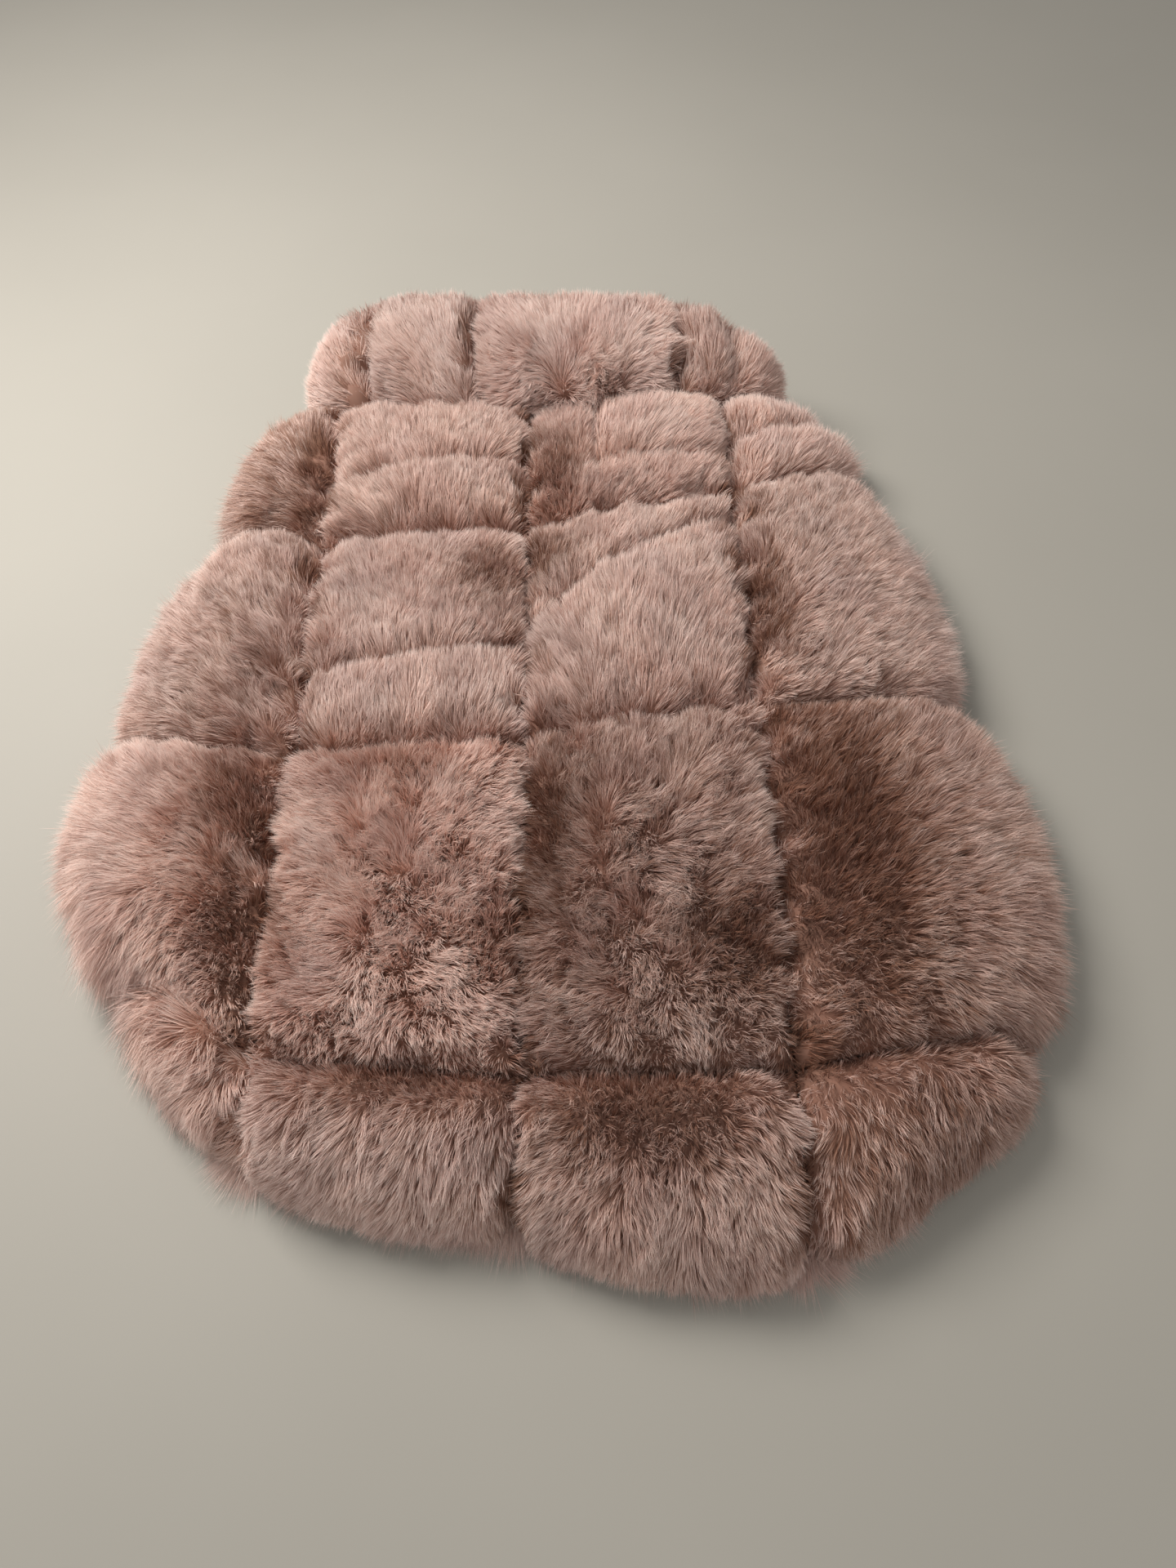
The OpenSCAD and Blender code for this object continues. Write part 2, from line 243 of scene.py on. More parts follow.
SHIFT = np.array([4.5, 5.8, 0.0])     # from the layout's own origin to the frame's
UP = np.array([0.0, 0.0, 1.0])
FLAT = np.array([1.0, 1.0, 0.0])
PANEL_W = 92.0
CENTRE_SEAM_X = -16.0
SEAM_LEAN = math.tan(math.radians(-1.0))
SKIN_TOP, SKIN_LOW = 26.0, 4.0
SIDE_SWELL = 14.0
ROW_SWELL = [0.3, 1.0, 0.6, 0.8]
SEAM_X = [CENTRE_SEAM_X - PANEL_W, CENTRE_SEAM_X, CENTRE_SEAM_X + PANEL_W + 2.0]
ROW_LINES = [
    [(-114, -168), -180, -200, -214, (138, -170)],
    [(-154, -112), -162, -168, -166, (158, -146)],
    [(-170, -24), -38, -30, -14, (152, -4)],
    [(-140, 96), 76, 86, 109, (124, 138)],
    [(-122, 174), 168, 166, 174, (96, 182)],
]
ROWS = ["tail", "rump", "saddle", "shoulder"]
COLS = ["left_side", "left_back", "right_back", "right_side"]
NECK_Y = 168.0
COLLAR_X = [-112.0, -96.0, -44.0, 52.0, 90.0]
COLLAR_FAR = [44.0, 50.0, 52.0, 52.0, 46.0]
COLLAR_NEAR = [8.0, 2.0, 0.0, 6.0, 20.0]
COLLAR_TOP, COLLAR_LOW = 55.0, 20.0
COLLAR_COLS = ["left_end", "left", "centre", "right"]
LAST = len(COLS) - 1


def mix(a, b, k):
    return a * (1 - k) + b * k


def crossing(i, j):
    """Where row line j and column line i cross, in plan."""
    if i in (0, LAST + 1):
        return np.array(ROW_LINES[j][i], float)
    return np.array([SEAM_X[i - 1] + SEAM_LEAN * ROW_LINES[j][i], ROW_LINES[j][i]])


def side_share(i, s):
    return 1 - s if i == 0 else s if i == LAST else s * 0


def bent(k, first, last=False):
    """Steps by angle where a panel bends down at its outer edge."""
    if first:
        return 1 - np.sin((1 - k) * math.pi / 2)
    return np.sin(k * math.pi / 2) if last else k


def body_skin(i, j, s, t):
    a, b = bent(s, i == 0, i == LAST), bent(t, j == 0)
    side, hem = side_share(i, s), (1 - t if j == 0 else t * 0)
    near = mix(crossing(i, j), crossing(i + 1, j), a[..., None])
    far = mix(crossing(i, j + 1), crossing(i + 1, j + 1), a[..., None])
    plan = mix(near, far, b[..., None])
    swell = SIDE_SWELL * ROW_SWELL[j] * 4 * b * (1 - b) * side * (-1 if i == 0 else 1)
    z = mix(SKIN_LOW, SKIN_TOP, np.cos(side * math.pi / 2) * np.cos(hem * math.pi / 2))
    return np.stack([plan[..., 0] + swell, plan[..., 1] - 16 * a * (1 - a) * hem, z], -1)


def collar_skin(i, s, t):
    a = bent(s, i == 0, i == LAST)
    x = mix(COLLAR_X[i], COLLAR_X[i + 1], a)
    near = mix(COLLAR_NEAR[i], COLLAR_NEAR[i + 1], a)
    far = mix(COLLAR_FAR[i], COLLAR_FAR[i + 1], a)
    high = mix(SKIN_TOP + 1, COLLAR_TOP, t)
    z = mix(COLLAR_LOW, high, np.cos(side_share(i, s) * math.pi / 2))
    return np.stack([x, NECK_Y + mix(near, far, t), z], -1)


FREE = 1e3            # stands for no seam at all
LAY = 1.7             # how flat the combed pile lies
LOW_PILE, BODY_PILE, COLLAR_PILE = 20.0, 27.0, 29.0     # at a panel's edge and at its crown
RIM_FROM = 0.45       # where the loose outer pile begins, as a share of a side panel
HEM_RIM = 0.25        # how much of the sides' loose outer pile the tail hem has
SEAM_W = 4.0          # how far a column seam's groove reaches
FOLD_W = 5.0          # the same at a row seam
SEAM_PILE = 7.5       # pile left over a seam
# the dark pits are painted shade: only the strands' colour is darkened there, the pile keeps its height
PIT_W = 8.0           # how far from a column seam the pile shows dark pits
COLLAR_SEAM = 0.35    # depth of the collar's own seam, as a share of the others
CORNER_SEAM = 0.35    # the same at the left side's lowest seam, which long wisps cover


def drift(points, seed, wavelength, waves=7):
    """Smooth seeded variation over the coat, about -1 to 1, from a few crossing waves."""
    rng = np.random.default_rng(seed)
    total = np.zeros(len(points))
    for _ in range(waves):
        turn, phase, stretch = rng.random(3) * (math.tau, math.tau, 1.0)
        k = math.tau / (wavelength * (0.7 + 0.8 * stretch))
        total += np.sin(points[:, 0] * k * math.cos(turn) + points[:, 1] * k * math.sin(turn) + phase)
    return total / math.sqrt(waves)


class Panel:
    """One fur panel: its place in the grid, its pile heights, creases and combing."""

    def __init__(self, kind, i, j, combing, creases=(), bulges=(), partings=(), wisps=(), length=1.0,
                 warm=0.5, lay=LAY, tone=0.0):
        self.collar, self.i, self.j = kind == "collar", i, j
        self.combing = np.array(combing, float)
        self.creases, self.bulges, self.partings = creases, bulges, partings
        self.wisps, self.length, self.warm, self.lay, self.tone = wisps, length, warm, lay, tone
        start, half, end = np.array([[0.0], [0.5], [1.0]])
        self.across = float(np.linalg.norm(self.skin(end, half) - self.skin(start, half)))
        self.along = float(np.linalg.norm(self.skin(half, end) - self.skin(half, start)))
        self.name = "collar_" + COLLAR_COLS[i] if self.collar else f"{ROWS[j]}_{COLS[i]}"
        self.node = "collar_fur_" + COLLAR_COLS[i] if self.collar else "fur_" + self.name

    def skin(self, s, t):
        return collar_skin(self.i, s, t) if self.collar else body_skin(self.i, self.j, s, t)

    def axes(self, s, t):
        """Unit vectors across and along the backing, and its normal, taken just inside the panel's edge."""
        e = 0.02
        sc, tc = np.clip(s, 0.06, 0.94), np.clip(t, 0.06, 0.94)
        u = unit(self.skin(sc + e, tc) - self.skin(sc - e, tc))
        v = unit(self.skin(sc, tc + e) - self.skin(sc, tc - e))
        n = unit(np.cross(u, v))
        if self.collar:
            n[..., 1] *= 0.3 + 0.7 * t
        n[..., 2] = np.maximum(n[..., 2], 0.1)
        return u, v, unit(n)

    def free_edges(self):
        """Edges with no neighbour, as the s or the t that stays fixed along each."""
        edges = [(0.0, None)] if self.i == 0 else [(1.0, None)] if self.i == LAST else []
        if self.collar:
            edges.append((None, 1.0))
        elif self.j == 0:
            edges.append((None, 0.0))
        return edges

    def rim(self, s, t):
        """1 at the coat's outer edge and 0 further in, where the pile is combed and even."""
        outer = np.clip((side_share(self.i, s) - RIM_FROM) / (1 - RIM_FROM), 0, 1)
        outer = outer * (0.5 if self.collar else 1.0)
        if not self.collar and self.j == 0:
            outer = np.maximum(outer, np.clip(0.6 - 1.2 * t, 0, 1) * HEM_RIM)
        return outer

    def column_seam(self, s, reach=SEAM_W):
        """1 at a column seam, where the pile is pinched into ragged tufts, and 0 a few millimetres away."""
        left = np.exp(-(s * self.across / reach) ** 2) if self.i > 0 else 0
        right = np.exp(-((1 - s) * self.across / reach) ** 2) if self.i < LAST else 0
        return left + right + s * 0

    def groove(self, s, t):
        """0 on a seam and 1 well inside the panel; a free edge has no seam."""
        i = self.i
        left = np.where(i > 0, s * self.across, FREE)
        right = np.where(i < LAST, (1 - s) * self.across, FREE)
        near = np.where(not self.collar and self.j == 0, FREE, t * self.along)
        far = np.where(self.collar, FREE, (1 - t) * self.along)
        plan = np.stack([s * self.across + 300 * i, t * self.along + 300 * self.j], -1)
        ragged = 1 + 0.35 * drift(plan, 11, 14.0)
        away = 1.0
        near_depth = COLLAR_SEAM if self.collar else CORNER_SEAM if (i, self.j) == (0, 1) else 1.0
        far_depth = COLLAR_SEAM if self.j == len(ROWS) - 1 else CORNER_SEAM if (i, self.j) == (0, 0) else 1.0
        for d, width, depth in ((left, SEAM_W, 1.0), (right, SEAM_W, 1.0),
                                (near, FOLD_W, near_depth), (far, FOLD_W, far_depth)):
            away = away * (1 - depth * np.exp(-(np.maximum(d, 0) / (width * np.maximum(ragged, 0.4))) ** 1.3))
        return away

    def pile(self, s, t):
        """Height of the pile over the backing: a soft crown, pulled down into a groove at each seam."""
        i, first_row = self.i, not self.collar and self.j == 0
        across = np.sin((1 - s) * math.pi / 2) if i == 0 else np.sin(s * math.pi / (2 if i == LAST else 1))
        along = np.sin((1 - t) * math.pi / 2) if first_row else np.sin(t * math.pi)
        crown = np.abs(across * along) ** 0.5
        side = side_share(i, s)
        if self.collar:
            full = np.abs(along) ** 0.8 * mix(0.7, 1.0, np.abs(across) ** 0.6)
            top = mix(LOW_PILE, COLLAR_PILE, full) - 8 * side * t
        else:
            top = mix(LOW_PILE, BODY_PILE, crown) - 2 * side - (6 * (1 - t) if first_row else 0)
        h = mix(SEAM_PILE, top, self.groove(s, t))
        for line, depth, width in self.creases:
            h = h - depth * np.exp(-(self.distance(s, t, line) / width) ** 2)
        for centre, radius, height in self.bulges:
            h = h + height * np.exp(-(self.away(s, t, centre) / radius) ** 2)
        if not self.collar and i == 0:
            h = h * (0.75 if self.j == 0 else 1.0 if self.j > 1 else mix(0.72, 1.0, np.clip(t / 0.5, 0, 1)))
        return np.maximum(h, 3.0)

    def away(self, s, t, centre):
        """Distance in millimetres from a place, over the flat panel."""
        return np.hypot((s - centre[0]) * self.across, (t - centre[1]) * self.along)

    def distance(self, s, t, line):
        """Distance in millimetres from a polyline given in the panel's own s and t."""
        size = np.array([self.across, self.along])
        p, line = np.stack([s, t], -1) * size, np.array(line) * size
        best = np.full(s.shape, np.inf)
        for a, b in zip(line[:-1], line[1:]):
            k = np.clip(((p - a) @ (b - a)) / ((b - a) @ (b - a)), 0, 1)
            best = np.minimum(best, np.linalg.norm(p - a - k[..., None] * (b - a), axis=-1))
        return best

    def parted(self, s, t):
        """1 where the pile stands open, 0 elsewhere. Where it is 1 the strands stand more upright, and their
        colour is darkened and browned: painted shade of the pile's depth.
        """
        total = np.zeros(s.shape)
        for (cs, ct), wide, high in self.partings:
            total = np.maximum(total, np.exp(-(((s - cs) / wide) ** 2 + ((t - ct) / high) ** 2)))
        return total

    def surface(self, s, t, share):
        """The skin raised by a share of the pile."""
        _, _, n = self.axes(s, t)
        return self.skin(s, t) + n * (share * self.pile(s, t))[..., None]

    def comb(self, s, t):
        """Combing blended between the panel's own points: two lean components, across and along."""
        d = self.away(s[..., None], t[..., None], self.combing.T)
        w = 1.0 / (d + 6.0) ** 2.5
        w /= w.sum(-1, keepdims=True)
        return w @ self.combing[:, 2], w @ self.combing[:, 3]


def unit(v):
    return v / np.maximum(np.linalg.norm(v, axis=-1, keepdims=True), 1e-9)


# ---- meshes from arrays ----

def mesh_piece(name, parts, material):
    """One object from several (vertices in mm, face list or array, hair attribute) parts."""
    verts, hair, loops, totals, base = [], [], [], [], 0
    for points, faces, colour in parts:
        verts.append((points + SHIFT) * MM)
        hair.append(colour)
        for group in faces:
            group = np.asarray(group)
            loops.append((group + base).ravel())
            totals.append(np.full(len(group), group.shape[1]))
        base += len(points)
    verts, hair = np.concatenate(verts), np.concatenate(hair)
    loops, totals = np.concatenate(loops), np.concatenate(totals)
    mesh = bpy.data.meshes.new(name)
    mesh.vertices.add(len(verts))
    mesh.vertices.foreach_set("co", verts.ravel())
    mesh.loops.add(len(loops))
    mesh.loops.foreach_set("vertex_index", loops)
    mesh.polygons.add(len(totals))
    mesh.polygons.foreach_set("loop_start", np.concatenate([[0], np.cumsum(totals)[:-1]]))
    mesh.polygons.foreach_set("use_smooth", np.full(len(totals), True))
    mesh.update(calc_edges=True)
    layer = mesh.attributes.new("hair", "FLOAT_COLOR", "POINT")
    layer.data.foreach_set("color", np.c_[hair, np.ones(len(hair))].ravel())
    mesh.materials.append(material)
    return linked(name, mesh)


def placed(piece, node_name, body):
    """The piece stands in for its CAD node, whose part is hidden, and rides on its body."""
    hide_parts(node_name)
    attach(piece, body)
    return piece


def pairs(a, b):
    """Every pair of two rows of numbers."""
    return np.meshgrid(a, b, indexing="ij")


def grid_quads(n, m, base, up):
    a, b = pairs(np.arange(n), np.arange(m))
    p = (base + a * (m + 1) + b).ravel()
    q = p + m + 1
    return np.stack([p, q, q + 1, p + 1] if up else [p, p + 1, q + 1, q], -1)


def rim_quads(n, m, low, high):
    ring = list(range(m)) + [a * (m + 1) + m for a in range(n)]
    ring += [n * (m + 1) + b for b in range(m, 0, -1)] + [a * (m + 1) for a in range(n, 0, -1)]
    p, q = np.array(ring), np.roll(ring, -1)
    return np.stack([high + p, high + q, low + q, low + p], -1)


def closed_faces(n, m):
    """Faces of a closed body between two grids of points, the lower one first."""
    count = (n + 1) * (m + 1)
    return grid_quads(n, m, 0, False), grid_quads(n, m, count, True), rim_quads(n, m, 0, count)


# ---- fur ----

DENSITY = 5.2         # strands per square millimetre of backing
FREE_LENGTH = 0.38    # how much of a strand stands free, as a share of the pile
LOCK = 1.0            # size of the tufts that the strands draw together in
HAIR_W = 0.25         # width of a strand near its root
STRANDS_MAX = 50000   # in one panel, apart from its edges
EDGE_PILE = 16.0      # height of the pile's cut side, where a panel has no neighbour
SPINE = (0.0, 0.55)   # where a strand's cross-sections lie, before its tip
TAPER = (1.0, 0.8)
FLOOR_Z = 0.6         # nothing reaches lower
LAID = 1.4            # strands that lie on the table share this height
ROOT = 0.70           # where the strands start, as a share of the pile
UPRIGHT = 0.85        # how far the pile stands up instead of leaning away from a seam beside it
UPRIGHT_W = (5.0, 8.0)   # and how far from a column seam and from a row seam
SLOW, QUICK = (0.20, 22.0), (0.14, 7.0)      # wandering of the lean, and its wavelength
FOLLOW = 0.45         # how far the strands follow the folds instead of the backing
TOSSED = 0.9          # wandering of the lean beside a column seam
TUFT_LEAN, TUFT_HIGH, TUFT_TONE = 0.13, 0.06, 0.13      # spread from tuft to tuft
# the darkening in partings and pits is painted shade of the pile's depth
PARTED_PAINTED_SHADE, PIT_PAINTED_SHADE, SEAM_PALE, RIM_PALE = 0.42, 0.65, 0.36, 0.12     # changes of a strand's tone
# the bed between the strands takes a colour near the dark root end of the ramp: painted shade of the pile's
# depth
BED_PAINTED_SHADE, BED_WARMTH = 0.14, 0.7


def strands(root, bend, tip, width, facing, colour, rng):
    """Tapered ribbons along quadratic curves. colour is (shade at the root, tone, warmth) for each strand;
    the dark root is painted shade of the pile's depth, lightening towards the tip.
    """
    n, rings = len(root), len(SPINE)
    side_a = unit(np.cross(tip - root, facing))
    side_b = unit(np.cross(tip - root, side_a))
    turn = rng.normal(0, 0.7, n)[:, None]
    side = side_a * np.cos(turn) + side_b * np.sin(turn)
    points = np.zeros((n, 2 * rings + 1, 3))
    hair = np.zeros((n, 2 * rings + 1, 3))
    for k, (u, w) in enumerate(zip(SPINE, TAPER)):
        centre = root * (1 - u) ** 2 + bend * 2 * u * (1 - u) + tip * u * u
        half = side * (width * w / 2)[:, None]
        points[:, 2 * k], points[:, 2 * k + 1] = centre - half, centre + half
        hair[:, 2 * k:2 * k + 2, 0] = mix(colour[:, :1], 1.0, u)
    points[:, -1] = tip
    hair[:, -1, 0] = 1.0
    hair[:, :, 1:] = colour[:, None, 1:]
    points[..., 2] = np.maximum(points[..., 2], FLOOR_Z + rng.uniform(0, LAID, n)[:, None])
    base = (np.arange(n) * (2 * rings + 1))[:, None]
    quads = np.concatenate([base + 2 * k + np.array([0, 1, 3, 2]) for k in range(rings - 1)])
    tris = base + 2 * (rings - 1) + np.array([0, 1, 2])
    return points.reshape(-1, 3), (quads, tris), hair.reshape(-1, 3)


def wandering(root, seed, lean, share, size, reach):
    """One part of the lean, made to wander, and held upright where it would lean away from a near seam."""
    lean = lean + SLOW[0] * drift(root, seed, SLOW[1]) + QUICK[0] * drift(root, seed + 1, QUICK[1])
    behind = np.where(lean > 0, share, 1 - share) * size
    return lean * (1 - UPRIGHT * np.exp(-(behind / reach) ** 2))


def pelt(panel, rng):
    """Strand arrays for one panel. Each strand grows on its own root and leans with its neighbours."""
    count = int(min(STRANDS_MAX, DENSITY * panel.across * panel.along))
    s, t = rng.random(count), rng.random(count)
    rim = panel.rim(s, t)
    u, v, normal = panel.axes(s, t)
    pile = panel.pile(s, t)
    e = 0.012
    ds = panel.surface(np.clip(s + e, 0, 1), t, 1) - panel.surface(np.clip(s - e, 0, 1), t, 1)
    dt = panel.surface(s, np.clip(t + e, 0, 1), 1) - panel.surface(s, np.clip(t - e, 0, 1), 1)
    up = unit(mix(normal, unit(np.cross(ds, dt)), FOLLOW))
    root = panel.surface(s, t, ROOT)
    lean_u, lean_v = panel.comb(s, t)
    lean_u = wandering(root, 1, lean_u, s, panel.across, UPRIGHT_W[0])
    lean_v = wandering(root, 3, lean_v, t, panel.along, UPRIGHT_W[1])
    parted = panel.parted(s, t)
    near_seam = panel.column_seam(s, PIT_W)
    lean_u = lean_u + TOSSED * drift(root, 12, 17.0) * near_seam
    # patches beside a column seam where the strands are darkened: painted shade of the pinched pile's depth
    painted_pit_shade = np.clip(2.0 * drift(root, 13, 24.0) - 0.2, 0, 1) * near_seam
    lean = (u * lean_u[:, None] + v * lean_v[:, None]) * (1 - 0.8 * parted)[:, None]

    # tufts: strands whose roots fall in one cell of a fine grid draw together at their tips
    cell_u, cell_v = np.floor(s * panel.across / LOCK), np.floor(t * panel.along / LOCK)
    key = (cell_u * 1000 + cell_v).astype(int)
    _, tuft = np.unique(key, return_inverse=True)
    tufts = tuft.max() + 1
    share = np.bincount(tuft, minlength=tufts)[:, None]
    middle = np.stack([np.bincount(tuft, root[:, k], tufts) for k in range(3)], -1) / share
    jitter = rng.normal(0, 0.35, (tufts, 3))
    at_seam = panel.column_seam(s)
    pull = np.clip(0.43 + 0.25 * parted + 0.35 * at_seam - 0.30 * rim, 0, 0.85)[:, None]
    tuft_lean = rng.normal(0, TUFT_LEAN, (tufts, 2))[tuft] * (1 + 2.5 * at_seam)[:, None]
    tuft_high = rng.normal(0, TUFT_HIGH, tufts)[tuft]
    tuft_tone = rng.normal(0, TUFT_TONE, tufts)[tuft]
    lean = lean + u * tuft_lean[:, :1] + v * tuft_lean[:, 1:]

    length = pile * FREE_LENGTH * panel.length * (1 + 0.14 * np.linalg.norm(lean, axis=-1)) * (1 + 0.45 * rim)
    for centre, radius, extra in panel.wisps:
        length = length * (1 + extra * np.exp(-(panel.away(s, t, centre) / radius) ** 2))
    length = length * (1 + 0.05 * drift(root, 5, 12.0) + tuft_high * (1 + 2 * at_seam)
                       + rng.normal(0, 1, count) * (0.05 + 0.10 * rim))
    wild = rng.normal(0, 0.09, (count, 3)) * (1 + 1.2 * rim)[:, None]
    first = unit(up + lean * (panel.lay * 0.5) + wild * 0.5)
    tip = root + unit(up + lean * panel.lay + wild) * length[:, None]
    tip = tip + (middle[tuft] + jitter[tuft] - root) * pull
    bend = root + first * (length * 0.55)[:, None]
    # partings and pits darken the tone and the root, and partings brown the strands: painted shade of the
    # pile's depth; a panel's own tone is partly painted light and shade too
    tone = 0.60 + panel.tone + 0.10 * drift(root, 6, 9.0) + tuft_tone + rng.normal(0, 0.12, count)
    tone = tone - PARTED_PAINTED_SHADE * parted - PIT_PAINTED_SHADE * painted_pit_shade + SEAM_PALE * at_seam * (1 - painted_pit_shade) + RIM_PALE * rim
    shade = 0.25 - 0.25 * parted - 0.25 * painted_pit_shade - 0.05 * at_seam + 0.1 * rim
    warmth = panel.warm + 0.16 * drift(root, 7, 30.0) + rng.normal(0, 0.05, count) + 0.25 * parted
    width = HAIR_W * rng.uniform(0.7, 1.3, count) * (1 - 0.2 * rim)
    return root - normal, bend, tip, width, up, np.clip(np.stack([shade, tone, warmth], -1), 0, 1)


def edge_colour(tone, warm):
    """Painted shade at the root, tone and warmth of strands at an edge."""
    return np.stack([np.full(len(tone), 0.3), np.clip(tone, 0, 1), np.full(len(tone), warm)], -1)


def edge_fur(panel, rng):
    """Strand arrays for the pile's cut side, along every edge where the panel has no neighbour."""
    parts = []
    for fixed_s, fixed_t in panel.free_edges():
        long = panel.along if fixed_t is None else panel.across
        count = int(DENSITY * long * ROOT * EDGE_PILE)
        k, share = rng.random(count), rng.random(count)
        s = k if fixed_s is None else np.full(count, fixed_s)
        t = k if fixed_t is None else np.full(count, fixed_t)
        u, v, normal = panel.axes(s, t)
        out = u * (2 * fixed_s - 1) if fixed_t is None else v * (2 * fixed_t - 1)
        root = panel.surface(s, t, share * ROOT)
        wild = rng.normal(0, 0.22, (count, 3))
        length = EDGE_PILE * 0.5 * (1 + 0.15 * drift(root, 9, 8.0) + rng.normal(0, 0.12, count))
        tip = root + unit(out * 0.7 + normal * (0.25 + 0.6 * share)[:, None] + wild) * length[:, None]
        bend = root + unit(out + normal * (0.1 + 0.3 * share)[:, None] + wild * 0.5) * (length * 0.5)[:, None]
        colour = edge_colour(0.55 + 0.1 * drift(root, 6, 9.0) + rng.normal(0, 0.16, count), panel.warm)
        parts.append((root - out * 0.8, bend, tip, HAIR_W * rng.uniform(0.7, 1.4, count), out, colour))
    return parts


def bed(panel, steps=22):
    """Closed pillow between the backing and the roots of the pile."""
    k = np.linspace(0.004, 0.996, steps + 1)
    s, t = [g.ravel() for g in pairs(k, k)]
    low, high = panel.skin(s, t), panel.surface(s, t, ROOT)
    low[:, 2] = np.maximum(low[:, 2], FLOOR_Z)
    hair = np.tile([BED_PAINTED_SHADE, 0.5, panel.warm * BED_WARMTH], (2 * len(low), 1))
    return np.concatenate([low, high]), closed_faces(steps, steps), hair


def fur_piece(panel, material, seed):
    rng = np.random.default_rng(seed)
    grown = [strands(*part, rng) for part in (pelt(panel, rng), *edge_fur(panel, rng))]
    piece = mesh_piece("plush_" + panel.name, [bed(panel), *grown], material)
    placed(piece, panel.node, "coat")


def fur(combing, **facts):
    """One panel's combing and whatever else sets it apart.

    A combing point is (s, t, lean across, lean along); a crease is (line, depth, width); a bulge is (centre,
    radius, height); a wisp is (centre, radius, extra length); a parting is (centre, half width, half height).
    Places, and a parting's size, are shares of the panel; the rest is in millimetres.
    """
    return combing, facts


